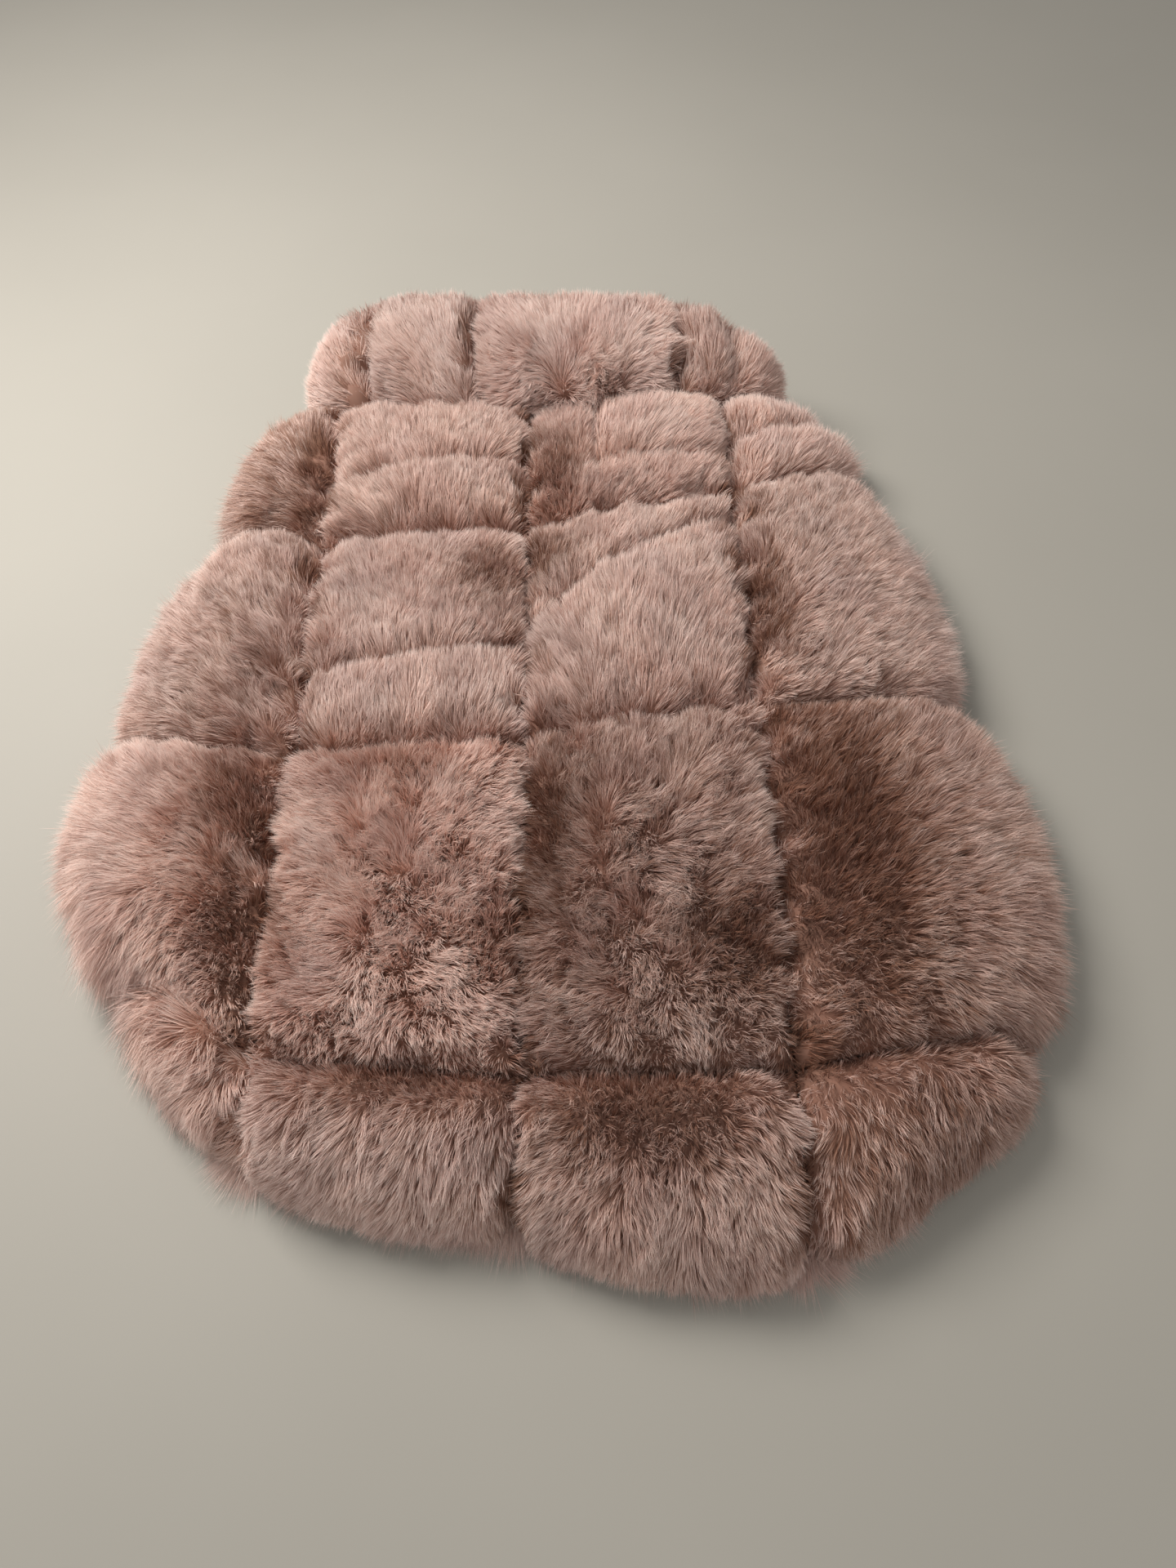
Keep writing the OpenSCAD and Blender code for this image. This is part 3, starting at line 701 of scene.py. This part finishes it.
# a panel's tone is partly the fur's own colour and partly painted light and shade, set panel by panel for how
# the light fell on it: the collar lighter, the right panels of the tail and rump darker
FURS = [                  # row by row from the tail, each from the left, and then the collar
    # tail row
    fur([(0.3, 0.5, -0.7, -0.7), (0.3, 0.9, -0.5, -0.9)], wisps=[((0.2, 0.8), 30.0, 0.5)], length=1.5,
        warm=0.7, tone=0.05),
    fur([(0.1, 0.7, -0.6, -0.5), (0.5, 0.5, -0.4, -0.8), (0.9, 0.4, -0.1, -0.9), (0.5, 0.95, -0.1, -0.3)],
        partings=[((0.6, 0.9), 0.4, 0.14)], warm=0.38),
    fur([(0.1, 0.5, -0.7, -0.6), (0.45, 0.8, 0.0, 0.0), (0.5, 0.3, 0.0, -1.0), (0.9, 0.6, 0.5, -0.7)],
        partings=[((0.45, 0.8), 0.34, 0.2)], warm=0.5, tone=-0.15),
    fur([(0.1, 0.6, 0.0, -0.9), (0.5, 0.5, 0.2, -1.0), (0.9, 0.6, 0.8, -0.3)], warm=0.65, tone=-0.36),
    # rump row
    fur([(0.85, 0.6, -0.1, 0.0), (0.85, 0.2, 0.1, -0.5), (0.35, 0.5, -0.9, 0.0), (0.35, 0.9, -0.6, 0.5),
        (0.5, 0.12, -0.3, -1.1), (0.12, 0.15, -0.5, -1.3)],
        partings=[((0.84, 0.75), 0.13, 0.24), ((0.88, 0.33), 0.13, 0.22)],
        wisps=[((0.35, 0.0), 30.0, 0.8), ((0.1, 0.1), 26.0, 0.6)], warm=0.65),
    fur([(0.1, 0.75, -0.9, 0.1), (0.45, 0.8, 0.0, 0.12), (0.9, 0.75, 0.7, -0.05), (0.15, 0.3, -0.7, -0.2),
        (0.5, 0.1, 0.0, -0.6), (0.8, 0.2, 0.6, -0.4), (0.95, 0.4, 0.0, 0.0)],
        partings=[((0.45, 0.88), 0.22, 0.08), ((0.08, 0.33), 0.1, 0.16), ((0.88, 0.3), 0.14, 0.13)],
        warm=0.66, tone=0.24),
    fur([(0.1, 0.5, -0.8, 0.0), (0.5, 0.9, 0.1, 0.5), (0.55, 0.5, 0.4, -0.5), (0.9, 0.6, 0.6, 0.2),
        (0.2, 0.15, -0.6, -0.3), (0.6, 0.1, 0.1, -0.6), (0.5, 0.35, 0.0, 0.0)],
        partings=[((0.12, 0.62), 0.1, 0.2), ((0.8, 0.3), 0.14, 0.12)], warm=0.42, tone=-0.26),
    fur([(0.16, 0.6, 0.0, 0.0), (0.15, 0.2, 0.1, -0.4), (0.6, 0.5, 0.9, 0.1), (0.5, 0.9, 0.6, 0.6),
        (0.6, 0.1, 0.5, -0.6)], partings=[((0.22, 0.55), 0.17, 0.4)], warm=0.65, tone=-0.34),
    # saddle row
    fur([(0.8, 0.8, -0.3, 0.6), (0.3, 0.3, -0.8, 0.1), (0.8, 0.2, -0.4, 0.2)], warm=0.4, tone=-0.22),
    fur([(0.2, 0.7, -0.2, 0.5), (0.8, 0.7, 0.5, 0.3), (0.5, 0.2, 0.05, 1.15)],
        creases=[([(0.0, 0.3), (0.5, 0.33), (1.0, 0.38)], 15.0, 3.6)], partings=[((0.8, 0.7), 0.2, 0.18)],
        warm=0.4),
    fur([(0.3, 0.85, 0.35, 0.5), (0.1, 0.3, -0.6, 0.9), (0.5, 0.4, 0.15, 1.3), (0.9, 0.4, 0.6, 1.0)],
        creases=[([(0.0, 0.42), (0.3, 0.62), (0.75, 0.8), (1.0, 0.86)], 16.0, 3.8)],
        bulges=[((0.5, 0.42), 28.0, 7.0)], partings=[((0.08, 0.76), 0.16, 0.13)], warm=0.5, tone=-0.08),
    fur([(0.2, 0.7, 0.3, 0.5), (0.7, 0.4, 0.8, 0.2), (0.3, 0.2, 0.4, 0.2)],
        partings=[((0.08, 0.42), 0.07, 0.22)], warm=0.42, tone=-0.17),
    # shoulder row
    fur([(0.8, 0.8, -0.3, 0.8), (0.3, 0.5, -0.9, 0.2), (0.6, 0.15, -0.5, -0.3)],
        bulges=[((0.4, 0.6), 26.0, 3.0)], warm=0.45, tone=-0.4),
    fur([(0.1, 0.7, -0.5, 0.8), (0.5, 0.75, 0.0, 0.9), (0.9, 0.7, 0.5, 0.6), (0.15, 0.2, -0.7, 0.7),
        (0.6, 0.15, 0.1, 1.3)], creases=[([(0.0, 0.36), (0.5, 0.42), (1.0, 0.5)], 12.0, 3.6)],
        bulges=[((0.5, 0.2), 24.0, 4.0)], warm=0.65, tone=-0.14),
    fur([(0.12, 0.8, -0.1, 0.6), (0.15, 0.3, 0.0, 0.0), (0.55, 0.8, 0.4, 0.9), (0.8, 0.6, 0.9, 0.6),
        (0.6, 0.2, 0.3, 0.5)],
        creases=[([(0.32, 0.35), (0.33, 0.95)], 10.0, 3.6), ([(0.33, 0.38), (1.0, 0.34)], 7.0, 4.0)],
        bulges=[((0.65, 0.7), 22.0, 5.0)], partings=[((0.14, 0.4), 0.14, 0.3)], warm=0.62),
    fur([(0.3, 0.75, 0.3, 0.8), (0.5, 0.25, 0.4, 0.6)], creases=[([(0.0, 0.5), (1.0, 0.55)], 8.0, 4.0)],
        warm=0.55, tone=0.3),
    # collar
    fur([(0.5, 0.5, -0.6, 0.9)], warm=0.3, lay=3.0, tone=0.15),
    fur([(0.2, 0.3, -0.9, 0.5), (0.6, 0.8, -0.4, 1.1), (0.8, 0.2, -0.4, 0.9)], warm=0.3, lay=3.2, tone=0.08),
    fur([(0.08, 0.35, -1.2, 0.3), (0.2, 0.8, -0.8, 1.0), (0.55, 0.0, 0.0, -1.0), (0.15, 0.04, -0.8, -0.7),
        (0.55, 0.16, 0.0, 0.5), (0.55, 0.7, 0.1, 1.3), (0.92, 0.4, 1.0, 0.5), (0.9, 0.04, 0.7, -0.6)],
        bulges=[((0.5, 0.15), 26.0, 5.0)], warm=0.4, lay=3.0, tone=0.28),
    fur([(0.2, 0.6, -0.3, 1.2), (0.75, 0.5, 0.8, 0.9), (0.4, 0.08, 0.0, 0.3)],
        creases=[([(0.42, 0.2), (0.42, 1.0)], 9.0, 3.6)], warm=0.4, lay=2.6, tone=0.22),
]
BODY = len(ROWS) * len(COLS)
PANELS = [Panel("body", k % len(COLS), k // len(COLS), combing, **facts)
          for k, (combing, facts) in enumerate(FURS[:BODY])]
PANELS += [Panel("collar", k, 1, combing, **facts) for k, (combing, facts) in enumerate(FURS[BODY:])]


# ---- fur turned under: the throat and the hem ----

# height of a pad's top, rounding of its edge, length of its strands, and strands per square millimetre
THROAT_T, THROAT_RIM, THROAT_PILE, THROAT_DENSITY = 12.6, 6.0, 9.0, 3.0
FACING_T, FACING_RIM, FACING_PILE, FACING_DENSITY = 2.8, 1.3, 20.5, 8.0
FACING_W = 24.0
FACING_REACH = 0.46     # how far up the right side the hem facing goes, as a share of the rump row
OPENING_MIDDLE = np.array([-5.0, -60.0])
HANGING = 0.65          # share of a pad's strands that grow on its lower face


def pad_point(near, far, k, w, z0, z1, rim, upper, closed=(True, True)):
    """A point on a flat pad between two edge lines, rounded towards its rim but not at a sewn end."""
    at = k * (len(near) - 1)
    first = np.minimum(at.astype(int), len(near) - 2)
    part = (at - first)[..., None]
    a, b = [mix(edge[first], edge[first + 1], part) for edge in (near, far)]
    length = np.linalg.norm(np.diff(near, axis=0), axis=1).sum()
    width = np.linalg.norm(b - a, axis=-1)
    ends = np.minimum(k if closed[0] else 1.0, 1 - k if closed[1] else 1.0) * length
    inner = np.minimum(np.minimum(w, 1 - w) * width, ends)
    full = np.sqrt(np.maximum(1 - (1 - np.minimum(inner / rim, 1)) ** 2, 0))
    plan = mix(a, b, w[..., None])
    z = (z0 + z1) / 2 + (z1 - z0) / 2 * full * upper
    return np.concatenate([plan, z[..., None]], -1)


def under_fur(name, node_name, near, far, z1, rim, length, density, material, warm, seed, closed):
    """A pad of fur between two edge lines, its pile combed out over the near edge and pressed flat below."""
    rng = np.random.default_rng(seed)
    near, far = np.array(near, float), np.array(far, float)
    n, m = 3 * len(near), 10
    k, w = [g.ravel() for g in pairs(np.linspace(0, 1, n + 1), np.linspace(0, 1, m + 1))]
    z0 = FLOOR_Z + 0.3
    low = pad_point(near, far, k, w, z0, z1, rim, -1, closed)
    high = pad_point(near, far, k, w, z0, z1, rim, 1, closed)
    # the pad takes a colour near the dark root end of the ramp: painted shade of the pile's depth
    hair = np.tile([0.22, 0.5, warm], (2 * len(low), 1))
    body = (np.concatenate([low, high]), closed_faces(n, m), hair)
    span = np.linalg.norm(near[-1] - near[0])
    depth = np.linalg.norm(near.mean(0) - far.mean(0))
    sprouts = int(density * span * (depth + 3 * z1))
    k, w = rng.random(sprouts), rng.random(sprouts) ** 1.8
    side = np.where(rng.random(sprouts) < HANGING, -1.0, 1.0)
    root = pad_point(near, far, k, w, z0, z1, rim, side, closed)
    ahead = pad_point(near, far, k, w - 0.1, z0, z1, rim, side, closed)
    out = unit((ahead - root) * FLAT)
    ends = np.clip((np.abs(k - 0.5) - 0.42) / 0.08, 0, 1) * np.sign(k - 0.5)
    along = unit(np.append(near[-1] - near[0], 0.0))
    wander = np.stack([rng.normal(0, spread, sprouts) for spread in (0.20, 0.20, 0.10)], -1)
    way = unit(out + along * ends[:, None] + wander + UP * 0.12 * side[:, None])
    long = length * (1 + 0.14 * drift(root, 8, 13.0) + rng.normal(0, 0.12, sprouts))
    bend = root + way * (long * 0.5)[:, None] + UP * 0.8 * side[:, None]
    tip = root + way * long[:, None] - UP * (long * 0.12)[:, None]
    colour = edge_colour(0.58 + rng.normal(0, 0.14, sprouts), warm)
    width = HAIR_W * rng.uniform(0.6, 1.1, sprouts)
    piece = mesh_piece(name, [body, strands(root, bend, tip, width, UP, colour, rng)], material)
    return placed(piece, node_name, "coat")


def facing_edges(edge):
    """The outer and inner edge of a facing strip on the table, turned in towards the rear opening."""
    edge = np.array(edge, float)
    return edge, edge + FACING_W * unit(OPENING_MIDDLE - edge)


def side_curve(i, j, shares):
    """The low outer edge of a side panel, in plan."""
    t = np.array(shares, float)
    return body_skin(i, j, np.full(t.shape, 0.0 if i == 0 else 1.0), t)[:, :2]


def hem_curve(i, shares):
    s = np.array(shares, float)
    return body_skin(i, 0, s, s * 0)[:, :2]


def make_under_fur(material):
    for side, x0, x1, left, right, seed in (("left", -108, -12.5, 18, 0, 40), ("right", -12, 84, 0, 18, 41)):
        x = (x0 - left * 0.7, x0, (x0 + x1) / 2, x1, x1 + right * 0.7)
        near, far = list(zip(x, (212, 217, 217.5, 217, 212))), list(zip(x, (194, 175, 174, 175, 196)))
        piece = under_fur("plush_throat_" + side, "throat_fur_" + side, near, far, THROAT_T, THROAT_RIM,
                          THROAT_PILE, THROAT_DENSITY, material, 0.4, seed, (side == "left", side == "right"))
    few, many = (0.0, 0.33, 0.67, 1.0), np.linspace(0, 1, 7)
    corner, last = crossing(0, 0), crossing(4, 0)
    left = [*side_curve(0, 1, [0.3, 0.15, 0.0])[:2], corner, mix(corner, crossing(1, 0), 0.5), crossing(1, 0)]
    tail = [*hem_curve(1, few), *hem_curve(2, few)[1:]]
    side = side_curve(3, 1, many * FACING_REACH)[1::2]
    right = [crossing(3, 0), mix(crossing(3, 0), last, 0.5), last, *side]
    for name, edge, seed in (("left", left, 50), ("tail", tail, 51), ("right", right, 52)):
        near, far = facing_edges(edge)
        piece = under_fur("plush_hem_" + name, "hem_facing_" + name, near, far, FACING_T, FACING_RIM,
                          FACING_PILE, FACING_DENSITY, material, 0.5, seed, (name == "left", name == "right"))


# ---- satin linings ----

LINING_GAP, LINING_T = 0.5, 0.9


def shell(name, low, high, n, m, material):
    """A closed thin cloth from two grids of points."""
    points = np.concatenate([low, high])
    return mesh_piece(name, [(points, closed_faces(n, m), np.zeros(points.shape))], material)


def lining(name, node_name, panels, columns, rows, steps, material):
    """One sheet under a whole run of panels, following their backing at a small distance."""
    n, m = columns * steps, rows * steps
    grid = np.zeros((n + 1, m + 1, 3))
    for panel in panels:
        i, j = panel.i, panel.j if rows > 1 else 0
        k = np.linspace(0, 1, steps + 1)
        s, t = pairs(np.clip(k, 0.02, 0.98) if columns == 1 else k, k)
        grid[i * steps:(i + 1) * steps + 1, j * steps:(j + 1) * steps + 1] = panel.skin(s, t)
    normal = unit(np.cross(np.gradient(grid, axis=0), np.gradient(grid, axis=1)))
    flat_grid, flat_normal = grid.reshape(-1, 3), normal.reshape(-1, 3)
    flat_normal[:, 2] = np.maximum(flat_normal[:, 2], 0.1)
    flat_normal = unit(flat_normal)
    slack = 0.25 * (1 + drift(flat_grid, 21, 26.0))[:, None]
    high = flat_grid - flat_normal * (LINING_GAP + slack)
    low = high - flat_normal * LINING_T
    for edge in (low, high):
        edge[:, 2] = np.maximum(edge[:, 2], FLOOR_Z)
    return placed(shell(name, low, high, n, m, material), node_name, "coat")


def make_linings(material):
    body = [p for p in PANELS if not p.collar]
    collar = [p for p in PANELS if p.collar]
    back = lining("satin_back", "back_lining", body, 4, 4, 14, material)
    upper = lining("satin_collar", "collar_lining", collar, 4, 1, 14, material)
    k, w = pairs(np.linspace(0, 1, 61), np.linspace(0, 1, 21))
    x, y = mix(-108, 84, k.ravel()), mix(175, 211, w.ravel())
    z = THROAT_T + 0.4 + 0.25 * (1 + drift(np.stack([x, y], -1), 22, 17.0))
    top = np.stack([x, y, z + LINING_T], -1)
    throat = placed(shell("satin_throat", top - UP * LINING_T, top, 60, 20, material),
                    "throat_lining", "coat")


# ---- knit, cuffs, tapes and small parts ----

RIB, RIB_DEPTH = 3.2, 0.45           # pitch of the knit's ribs, and how deep they are
CUFF_WALL, CUFF_RIBS = 6.0, 54
LOOP_W, LOOP_T = 3.6, 0.6
ELASTIC_T, LABEL_T = 0.7, 0.22


def node_box(node_name):
    """A CAD node's corners in the layout's own millimetres."""
    low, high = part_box(node_name)
    return np.array(low) / MM - SHIFT, np.array(high) / MM - SHIFT


def ribbed_cloth(name, node_name, body, material):
    """The node's own outline, cut along its ribs: between two ribs both faces sink, and all of it ripples."""
    low, high = node_box(node_name)
    work = bmesh.new()
    work.from_mesh(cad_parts[node_name].data)
    for axis, step in ((1, 9.0), (0, RIB / 2)):
        for k in range(math.ceil(low[axis] / step), math.ceil(high[axis] / step)):
            at, across = [0.0, 0.0, 0.0], [0.0, 0.0, 0.0]
            at[axis], across[axis] = (k * step + SHIFT[axis]) * MM, 1.0
            bmesh.ops.bisect_plane(work, geom=work.verts[:] + work.edges[:] + work.faces[:],
                                   plane_co=at, plane_no=across, dist=1e-6)
    middle = (low[2] + high[2]) / 2 * MM
    for vert in work.verts:
        x, y = vert.co.x / MM - SHIFT[0], vert.co.y / MM - SHIFT[1]
        sink = RIB_DEPTH * (0.5 - 0.5 * math.cos(math.tau * x / RIB))
        sink += 0.08 * (1 + math.sin(y / 6.5 + math.sin(x / 17)))
        vert.co.z += (sink if vert.co.z < middle else -sink) * MM
    mesh = bpy.data.meshes.new(name)
    work.to_mesh(mesh)
    work.free()
    mesh.materials.clear()
    mesh.materials.append(material)
    mesh.shade_smooth()
    return placed(linked(name, mesh), node_name, body)


def cuff(side, material):
    """A ribbed band folded over on itself, round one leg opening."""
    low, high = node_box("leg_cuff_" + side)
    centre, outer, tall = (low + high) / 2, (high[0] - low[0]) / 2 + 0.3, high[2] - low[2]
    around, section = CUFF_RIBS * 4, 24
    a, b = pairs(np.arange(around) * math.tau / around, np.arange(section) * math.tau / section)
    c, d = np.cos(b), np.sin(b)
    wide = np.sign(c) * np.abs(c) ** 0.6 * (CUFF_WALL / 2 - 0.3)
    rib = 0.30 * np.cos(a * CUFF_RIBS) * (1 - 0.4 * np.abs(d))
    radius = outer - CUFF_WALL / 2 + wide + rib * np.sign(c)
    z = centre[2] + np.sign(d) * np.abs(d) ** 0.7 * (tall / 2 - 0.2) + 0.15 * np.cos(a * CUFF_RIBS) * d
    points = np.stack([centre[0] + radius * np.cos(a), centre[1] + radius * np.sin(a), z], -1).reshape(-1, 3)
    k, m = pairs(np.arange(around), np.arange(section))
    p, q = k * section + m, (k + 1) % around * section + m
    r, t = (k + 1) % around * section + (m + 1) % section, k * section + (m + 1) % section
    quads = np.stack([p, q, r, t], -1).reshape(-1, 4)
    piece = mesh_piece("rib_cuff_" + side, [(points, (quads,), np.zeros((len(points), 3)))], material)
    return placed(piece, "leg_cuff_" + side, "coat")


def band_part(path, across, width, thick, section=16):
    """A tape along a path, with soft edges; across is its width's direction at each point."""
    path, across = np.array(path, float), np.array(across, float)
    normal = unit(np.cross(np.gradient(path, axis=0), across))
    angle = np.arange(section) * math.tau / section
    c, d = np.cos(angle), np.sin(angle)
    u = np.sign(c) * np.abs(c) ** 0.35 * width / 2
    v = np.sign(d) * np.abs(d) ** 0.6 * thick / 2
    points = path[:, None] + across[:, None] * u[:, None] + normal[:, None] * v[:, None]
    k, m = pairs(np.arange(len(path) - 1), np.arange(section))
    p, t = k * section + m, k * section + (m + 1) % section
    quads = np.stack([p, t, t + section, p + section], -1).reshape(-1, 4)
    first = np.arange(section)[None, ::-1]
    last = (np.arange(section) + (len(path) - 1) * section)[None]
    return points.reshape(-1, 3), (quads, first, last), np.zeros((len(path) * section, 3))


def straight_path(low, high, axis, z, step, ripple=0.0, wave=4.0):
    """Points along the middle of a node's box, with a ripple up and down."""
    count = max(2, round((high[axis] - low[axis]) / step))
    path = np.tile((low + high) / 2, (count + 1, 1))
    path[:, axis] = np.linspace(low[axis] + 0.2, high[axis] - 0.2, count + 1)
    path[:, 2] = z + ripple * np.sin(path[:, axis] * math.tau / wave)
    across = np.zeros((count + 1, 3))
    across[:, 1 - axis] = 1.0
    return path, across


def fastener(name, node_name, body, material, face, hooked):
    """Half of the hook-and-loop closure: a woven tape with hooks or brushed loops on the side it faces."""
    rng = np.random.default_rng(60 + hooked)
    low, high = node_box(node_name)
    base_t, inset = 0.45, 1.6
    back = low[2] if face > 0 else high[2]
    path, across = straight_path(low, high, 1, back + face * (base_t / 2 + 0.02), 2.0)
    pitch, rise, thick = (1.5, 0.12, 0.34) if hooked else (1.0, 0.30, 0.22)
    x, y = pairs(np.arange(low[0] + inset, high[0] - inset, pitch),
                 np.arange(low[1] + inset, high[1] - inset, pitch))
    root = np.stack([x.ravel(), y.ravel(), np.full(x.size, back + face * base_t)], -1)
    if hooked:
        lean = np.zeros((len(root), 3))
        lean[:, 0] = np.where(np.arange(len(root)) % 2, 0.55, -0.55)
    else:
        root[:, :2] += rng.uniform(-0.5, 0.5, (len(root), 2))
        lean = rng.normal(0, 0.6, (len(root), 3)) * FLAT
    bend = root + lean * 0.6 + UP * (face * 0.55)
    tip = root + lean + UP * (face * rise)
    width, colour = np.full(len(root), thick), np.full((len(root), 3), 0.5)
    nap = strands(root, bend, tip, width, np.array([0.0, 1.0, 0.0]), colour, rng)
    piece = mesh_piece(name, [band_part(path, across, high[0] - low[0], base_t), nap], material)
    return placed(piece, node_name, body)


def make_underside(knit, cuff_knit, tape, hooks, elastic, label, satin):
    chest = ribbed_cloth("knit_chest", "chest_panel", "coat", knit)
    belly = ribbed_cloth("knit_belly", "belly_panel", "coat", knit)
    flap = ribbed_cloth("knit_flap", "belly_flap", "belly_flap", knit)
    for side in ("left", "right"):
        cuff(side, cuff_knit)
    fastener("loop_side", "loop_tape", "coat", tape, -1, False)
    fastener("hook_side", "hook_tape", "belly_flap", hooks, 1, True)

    low, high = node_box("flap_elastic")
    path, across = straight_path(low, high, 0, (low[2] + high[2]) / 2, 0.8, 0.22, 3.2)
    placed(mesh_piece("elastic_band", [band_part(path, across, high[1] - low[1], ELASTIC_T)], elastic),
           "flap_elastic", "belly_flap")

    low, high = node_box("care_label")
    fold = np.linspace(-math.pi / 2, math.pi / 2, 9)
    z = (low[2] + high[2]) / 2
    up = [(high[1] - 1.0 + 0.24 * math.cos(a) * 1.6, z - 0.2 * math.sin(a)) for a in fold]
    profile = [(y, z + 0.2) for y in np.linspace(low[1] + 1.2, high[1] - 1.2, 12)] + up \
        + [(y, z - 0.2) for y in np.linspace(high[1] - 1.2, low[1] + 0.4, 12)]
    path = np.array([(low[0] / 2 + high[0] / 2, y, h) for y, h in profile])
    across = np.tile([1.0, 0.0, 0.0], (len(path), 1))
    folded = mesh_piece("blank_label", [band_part(path, across, high[0] - low[0], LABEL_T)], label)
    placed(folded, "care_label", "coat")

    low, high = node_box("hang_loop")
    inset, bow = 2.0, 3.0
    x0, x1, y0, y1 = low[0] + inset, high[0] - inset, low[1] + 0.3, high[1] - inset
    turn = np.linspace(0, math.pi / 2, 7)
    route = [(x0, y) for y in np.linspace(y0, y1 - bow, 5)]
    route += [(x0 + bow * (1 - math.cos(a)), y1 - bow + bow * math.sin(a)) for a in turn]
    route += [(x, y1) for x in np.linspace(x0 + bow + 2, x1 - bow - 2, 8)]
    route += [(x1 - bow * (1 - math.sin(a)), y1 - bow + bow * math.cos(a)) for a in turn]
    route += [(x1, y) for y in np.linspace(y1 - bow - 1, y0, 5)]
    route = np.array(route)
    path = np.c_[route, (low[2] + high[2]) / 2 + 0.15 * np.sin(np.arange(len(route)) * 0.9)]
    along = unit(np.gradient(path, axis=0))
    across = unit(np.cross(along, UP))
    loop = mesh_piece("satin_loop", [band_part(path, across, LOOP_W, LOOP_T)], satin)
    placed(loop, "hang_loop", "coat")


FLOOR_HALF = 3.0      # metres


def make_floor():
    mesh = bpy.data.meshes.new("floor")
    corners = [(x * FLOOR_HALF, y * FLOOR_HALF, 0) for x, y in ((-1, -1), (1, -1), (1, 1), (-1, 1))]
    mesh.from_pydata(corners, [], [(0, 1, 2, 3)])
    mesh.materials.append(floor_material())
    floor = linked("floor", mesh)


make_camera()
make_lights()
make_floor()
pile = fur_material()
for number, panel in enumerate(PANELS):
    fur_piece(panel, pile, 100 + number)
make_under_fur(pile)
satin, *others = [cloth_material(*cloth) for cloth in CLOTHS]
make_linings(satin)
make_underside(*others, satin)
